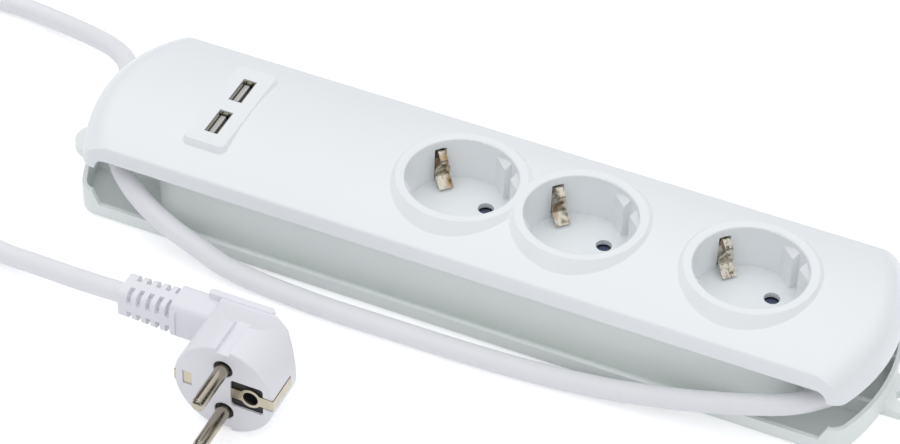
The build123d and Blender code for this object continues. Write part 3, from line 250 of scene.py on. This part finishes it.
def spring_bronze(name):
    """Strip whose nickel has worn off in places: nickel gives way to bronze over 9 mm. Small spots are
    painted dark, a painted reflection standing in for dark surroundings mirrored in the strip."""
    material, tree, shader = new_material(name, "#CDC6B8", 0.16, 1.0)
    where = add_node(tree, "ShaderNodeTexCoord").outputs["Object"]
    wear = add_node(tree, "ShaderNodeTexNoise", {"Vector": where, "Scale": grain_mm(9), "Detail": 1.0})
    worn = add_node(
        tree, "ShaderNodeMapRange", {"Value": wear.outputs["Fac"], "From Min": 0.5, "From Max": 0.66}
    )
    flash = {MIX_FIRST: linear("#D9D3C4"), MIX_SECOND: linear("#A58A68")}
    metal = add_node(
        tree, "ShaderNodeMix", {MIX_FACTOR: worn.outputs["Result"], **flash}, data_type="RGBA"
    )
    # Painted reflection: small spots go towards near black, standing in for dark surroundings mirrored in
    # the strip.
    spots = add_node(tree, "ShaderNodeTexNoise", {"Vector": where, "Scale": grain_mm(2.2), "Detail": 2.0})
    spotted = {"Value": spots.outputs["Fac"], "From Min": 0.52, "From Max": 0.7, "To Max": 0.7}
    dark = add_node(tree, "ShaderNodeMapRange", spotted)
    reflection_tones = {MIX_FIRST: metal.outputs[MIX_RESULT], MIX_SECOND: linear("#3A332B")}
    reflection_spotted = add_node(
        tree, "ShaderNodeMix", {MIX_FACTOR: dark.outputs["Result"], **reflection_tones}, data_type="RGBA"
    )
    tree.links.new(reflection_spotted.outputs[MIX_RESULT], shader.inputs["Base Color"])
    bump = add_node(
        tree, "ShaderNodeBump", {"Height": spots.outputs["Fac"], "Strength": 0.4, "Distance": 0.4 * MM}
    )
    tree.links.new(bump.outputs["Normal"], shader.inputs["Normal"])
    return material


def shaded_below(name, bright_z, dark_z):
    """Nickel that is clean down to one height in millimetres and has painted shade below another: there the
    colour goes to near black, standing in for the shade inside the port.
    """
    material, tree, shader = new_material(name, "#C6C0B4", 0.25, 1.0)
    where = add_node(tree, "ShaderNodeTexCoord").outputs["Object"]
    height = add_node(tree, "ShaderNodeSeparateXYZ", {"Vector": where}).outputs["Z"]
    # Painted shade: between the two heights the colour goes from clean nickel to near black, standing in
    # for the shade inside the port.
    painted_shade_depth = add_node(
        tree, "ShaderNodeMapRange", {"Value": height, "From Min": bright_z * MM, "From Max": dark_z * MM}
    ).outputs["Result"]
    tints = {MIX_FACTOR: painted_shade_depth, MIX_FIRST: linear("#D2CDC2"), MIX_SECOND: linear("#17171A")}
    tint = add_node(tree, "ShaderNodeMix", tints, data_type="RGBA")
    tree.links.new(tint.outputs[MIX_RESULT], shader.inputs["Base Color"])
    fine = add_node(tree, "ShaderNodeTexNoise", {"Vector": where, "Scale": grain_mm(0.4), "Detail": 2.0})
    bump = add_node(
        tree, "ShaderNodeBump", {"Height": fine.outputs["Fac"], "Strength": 0.15, "Distance": 0.02 * MM}
    )
    tree.links.new(bump.outputs["Normal"], shader.inputs["Normal"])
    return material


NICKEL = plated_metal("nickel_plate", "#BDB5A6", "#A79F91", 0.22, 0.4, "Y")
STRIP = plated_metal("earth_strip_nickel", "#C9C2B0", "#B4AC9B", 0.3, 0.4, "X")
BRONZE = spring_bronze("spring_bronze")
STEEL = plated_metal("zinc_plated_steel", "#C4C6CA", "#A9ACB2", 0.3, 0.5, "Z")
dress(NICKEL, "plug_pin_1", "plug_pin_2")
# The port shells carry painted shade: near black below their rims.
dress(shaded_below("port_shell_nickel_painted_shade", 37.9, 36.6), "port_shell_1", "port_shell_2")
dress(STRIP, "plug_earth_left", "plug_earth_right")
dress(BRONZE, "earth_rail", "phase_rail", "neutral_rail")
dress(STEEL, "case_screws", "clamp_screw", *[f"shutter_spring_{i}" for i in (1, 2, 3)])
dress(STEEL, *[f"shutter_keeper_{i}" for i in (1, 2, 3)])
print("five metals")

# %% [markdown]
# Small dark parts: the nylon shutters that show through the pin holes, the black insert that holds
# the plug's pins, and the electronics of the charger. They are plain moulded or laminated plastics.

# %% Small plastics
def plain_plastic(name, colour, shade, roughness, grain):
    """Moulded plastic with a grain this many millimetres across in its colour and its bump."""
    material, tree, shader = new_material(name, colour, roughness, IOR=1.5)
    where = add_node(tree, "ShaderNodeTexCoord").outputs["Object"]
    noise = add_node(tree, "ShaderNodeTexNoise", {"Vector": where, "Scale": grain_mm(grain), "Detail": 3.0})
    tints = {MIX_FACTOR: noise.outputs["Fac"], MIX_FIRST: linear(colour), MIX_SECOND: linear(shade)}
    tint = add_node(tree, "ShaderNodeMix", tints, data_type="RGBA")
    tree.links.new(tint.outputs[MIX_RESULT], shader.inputs["Base Color"])
    bump = add_node(
        tree, "ShaderNodeBump", {"Height": noise.outputs["Fac"], "Strength": 0.2, "Distance": 0.05 * MM}
    )
    tree.links.new(bump.outputs["Normal"], shader.inputs["Normal"])
    return material


dress(plain_plastic("shutter_nylon", "#4C5872", "#434E66", 0.45, 0.5), *[f"shutter_{i}" for i in (1, 2, 3)])
dress(plain_plastic("insert_black_pbt", "#121316", "#0C0D0F", 0.5, 0.4), "plug_insert")
dress(plain_plastic("clamp_nylon", "#54607A", "#4A556D", 0.5, 0.6), "cord_clamp")
dress(plain_plastic("port_tongue_white", "#D9D8D3", "#CFCEC9", 0.35, 0.5), "port_tongue_1", "port_tongue_2")
dress(plain_plastic("board_green_laminate", "#2C5A37", "#244C2E", 0.35, 0.8), "port_board")
dress(plain_plastic("transformer_tape", "#2A2A2C", "#1F1F21", 0.4, 1.5), "transformer")
dress(plain_plastic("capacitor_sleeve", "#20283C", "#1A2133", 0.3, 1.0), "capacitors")
dress(plain_plastic("wire_brown_pvc", "#6B4630", "#5E3D2A", 0.4, 1.0), "live_wire", "board_feeds")
dress(plain_plastic("wire_blue_pvc", "#3A62A8", "#325694", 0.4, 1.0), "neutral_wire")
dress(plain_plastic("wire_green_pvc", "#7E9A2E", "#5B8A3A", 0.4, 2.5), "earth_wire")
dress(plain_plastic("strap_loop_fabric", "#D8D8DA", "#BFC0C4", 0.85, 0.6), "coil_tie")
print("small plastics done")

# %% [markdown]
# The cord is one line from the boot inside the case to the plug. It is wound once round the core,
# leaves at the left, and what the photograph doesn't show is put away in a small coil. A NURBS
# spline of order three follows listed points, with computed ones for the coil, and has no
# corners, as a real cord has none.

# %% The cord
CORD_D = 7.4
COIL_AT = (-258.0, 6.0)
COIL_R = 40.0
COIL_TURNS = 2.5
COIL_LIFT = 4.5
TURNS_IN = (0.86, 1.0)
TURNS_UP = (1.84, 2.0)
NEST = 0.87
EXIT = (-62.0, 19.5, 14.0)
TO_THE_COIL = [
    EXIT,
    (-47.0, 19.5, 14.0),
    (-31.0, 27.5, 13.0),
    (-14.0, 34.0, 11.5),
    (8.0, 35.6, 10.8),
    (32.0, 34.4, 10.6),
    (56.0, 35.3, 10.6),
    (78.0, 34.4, 10.7),
    (97.0, 35.6, 11.0),
    (112.0, 34.4, 11.4),
    (124.0, 29.6, 12.2),
    (133.2, 21.2, 12.8),
    (138.8, 10.2, 13.2),
    (140.6, -2.0, 14.2),
    (138.0, -14.2, 16.2),
    (132.0, -25.4, 17.3),
    (122.2, -33.4, 16.9),
    (110.0, -36.6, 14.8),
    (96.0, -38.2, 11.2),
    (80.0, -39.6, 7.8),
    (60.0, -41.0, 4.7),
    (36.0, -43.0, 3.8),
    (10.0, -44.2, 3.75),
    (-16.0, -44.4, 3.75),
    (-40.0, -44.8, 3.75),
    (-62.0, -43.6, 3.8),
    (-79.0, -42.6, 5.0),
    (-90.5, -40.9, 8.6),
    (-103.0, -39.2, 12.4),
    (-115.5, -35.2, 16.2),
    (-127.0, -27.6, 18.6),
    (-134.4, -17.2, 18.6),
    (-139.8, -5.5, 17.8),
    (-144.6, 6.5, 17.4),
    (-148.6, 18.6, 17.2),
    (-154.6, 29.6, 15.8),
    (-164.6, 38.6, 12.6),
    (-179.8, 46.8, 7.8),
    (-198.0, 52.6, 4.6),
    (-217.0, 55.2, 4.2),
    (-238.0, 53.0, 4.4),
]
TO_THE_PLUG = [
    (-237.0, -41.2, 9.2),
    (-218.0, -46.2, 4.9),
    (-198.0, -53.0, 3.8),
    (-177.0, -61.6, 3.8),
    (-155.0, -68.4, 4.2),
    (-135.0, -71.8, 8.2),
    (-117.0, -76.4, 12.6),
    (-96.9, -80.6, 18.0),
]


def coil_points(turns, per_turn=14):
    """Points of a wound coil: the angle runs on evenly, the first turn lies outside and low, the
    second inside it, and the last half turn on top in the groove between them. A cord in a groove
    lies half the square root of three of a cord higher than the two below it."""
    angle = np.radians(90 + np.arange(0.5, turns * per_turn) * 360 / per_turn)
    turned = (angle - np.radians(90)) / (2 * np.pi)

    def step(start, end):
        """Goes from 0 to 1 between two counts of turns: the share squared, times 3 less twice it."""
        along = np.clip((turned - start) / (end - start), 0, 1)
        return along * along * (3 - 2 * along)

    inwards = step(*TURNS_IN)
    upwards = step(*TURNS_UP)
    radius = COIL_R + CORD_D * (0.5 - inwards + 0.5 * upwards)
    height = COIL_LIFT + CORD_D * NEST * upwards
    return np.stack(
        [COIL_AT[0] + radius * np.cos(angle), COIL_AT[1] + radius * np.sin(angle), height], axis=1
    ).tolist()


line = bpy.data.curves.new("cord", "CURVE")
line.dimensions = "3D"
line.bevel_depth = CORD_D / 2 * MM
line.bevel_resolution = 6
line.resolution_u = 8
line.use_fill_caps = True
points = TO_THE_COIL + coil_points(COIL_TURNS) + TO_THE_PLUG
spline = line.splines.new("NURBS")
spline.points.add(len(points) - 1)
in_metres = np.append(np.array(points) * MM, np.ones((len(points), 1)), axis=1)
spline.points.foreach_set("co", in_metres.ravel())
spline.order_u = 3
spline.use_endpoint_u = True
line.materials.append(SHEATH)
cord = bpy.data.objects.new("cord", line)
bpy.context.scene.collection.objects.link(cord)
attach(cord, "lead")
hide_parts("cord_run", "cord_coil", "plug_tail")
print("cord of", len(points), "points")

# %% [markdown]
# A catalogue picture has a white table and soft light from everywhere, brightest from the ceiling, so
# that tops are a little lighter than sides. Two weak softboxes add a direction to it. Metal would
# look flat in so even a room, so mirror-like reflections see bright panels with dark gaps instead.
# The table is a plane. It is lit like the rest, and for the camera and in reflections it is lifted to
# white, so that only a faint shadow stays under the case. How bright the room is in one direction
# goes evenly from its level at the horizon to the one overhead, by the height of that direction.

# %% Table and light
TABLE_SIZE = 8.0
TABLE_LIFT = 0.42
GLOW_LEVEL = 0.38
GLOW_OVERHEAD = 1.09
PANEL_SCALE = 1.7
PANEL_EDGES = (0.44, 0.56)
TOP_LAMP = {"at": (-0.35, 0.25, 1.3), "size": 1.0, "power": 1.9}
FRONT_LAMP = {"at": (0.9, -1.1, 0.7), "size": 0.8, "power": 0.5}
table_mesh = bpy.data.meshes.new("table")
corners = np.array([(-1, -1, 0), (1, -1, 0), (1, 1, 0), (-1, 1, 0)]) * TABLE_SIZE / 2
table_mesh.from_pydata(corners.tolist(), [], [(0, 1, 2, 3)])
table = bpy.data.objects.new("table", table_mesh)
bpy.context.scene.collection.objects.link(table)

white = bpy.data.materials.new("white_table")
white.use_nodes = True
tree = white.node_tree
tree.nodes.clear()
matt = add_node(tree, "ShaderNodeBsdfDiffuse", {"Color": linear("#F4F5F6")})
lift = add_node(tree, "ShaderNodeEmission", {"Color": linear("#FFFFFF"), "Strength": TABLE_LIFT})
lifted = add_node(tree, "ShaderNodeAddShader")
tree.links.new(matt.outputs["BSDF"], lifted.inputs[0])
tree.links.new(lift.outputs["Emission"], lifted.inputs[1])
ray = add_node(tree, "ShaderNodeLightPath")
seen = add_node(tree, "ShaderNodeMath", operation="MAXIMUM")
tree.links.new(ray.outputs["Is Camera Ray"], seen.inputs[0])
tree.links.new(ray.outputs["Is Glossy Ray"], seen.inputs[1])
pick = add_node(tree, "ShaderNodeMixShader", {"Fac": seen.outputs["Value"]})
tree.links.new(matt.outputs["BSDF"], pick.inputs[1])
tree.links.new(lifted.outputs["Shader"], pick.inputs[2])
add_node(tree, "ShaderNodeOutputMaterial", {"Surface": pick.outputs["Shader"]})
table_mesh.materials.append(white)

studio = bpy.data.worlds.new("studio")
bpy.context.scene.world = studio
studio.use_nodes = True
tree = studio.node_tree
tree.nodes.clear()
towards = add_node(tree, "ShaderNodeNewGeometry").outputs["Incoming"]
height = add_node(tree, "ShaderNodeSeparateXYZ", {"Vector": towards}).outputs["Z"]
steep = add_node(tree, "ShaderNodeMath", operation="ABSOLUTE")
tree.links.new(height, steep.inputs[0])
brightness = {"Value": steep.outputs["Value"], "To Min": GLOW_LEVEL, "To Max": GLOW_OVERHEAD}
glow = add_node(tree, "ShaderNodeMapRange", brightness)
walls = add_node(
    tree, "ShaderNodeBackground", {"Color": linear("#FAFBFE"), "Strength": glow.outputs["Result"]}
)
panels = add_node(tree, "ShaderNodeTexNoise", {"Vector": towards, "Scale": PANEL_SCALE, "Detail": 0.0})
border = {"Value": panels.outputs["Fac"], "From Min": PANEL_EDGES[0], "From Max": PANEL_EDGES[1]}
edges = add_node(tree, "ShaderNodeMapRange", border)
tones = {MIX_FIRST: linear("#2B2A2A"), MIX_SECOND: linear("#FFFFFF")}
flags = add_node(tree, "ShaderNodeMix", {MIX_FACTOR: edges.outputs["Result"], **tones}, data_type="RGBA")
reflected = add_node(
    tree, "ShaderNodeBackground", {"Color": flags.outputs[MIX_RESULT], "Strength": 1.0}
)
path = add_node(tree, "ShaderNodeLightPath")
choice = add_node(tree, "ShaderNodeMixShader", {"Fac": path.outputs["Is Glossy Ray"]})
tree.links.new(walls.outputs["Background"], choice.inputs[1])
tree.links.new(reflected.outputs["Background"], choice.inputs[2])
add_node(tree, "ShaderNodeOutputWorld", {"Surface": choice.outputs["Shader"]})


def softbox(name, at, size, power):
    """A square lamp of this size in metres and power in watts, facing the middle of the case."""
    lamp = bpy.data.lights.new(name, "AREA")
    lamp.size = size
    lamp.energy = power
    holder = bpy.data.objects.new(name, lamp)
    holder.location = at
    holder.rotation_euler = Vector(at).to_track_quat("Z", "Y").to_euler()
    bpy.context.scene.collection.objects.link(holder)


softbox("top_softbox", **TOP_LAMP)
softbox("front_softbox", **FRONT_LAMP)
print("table and two softboxes")
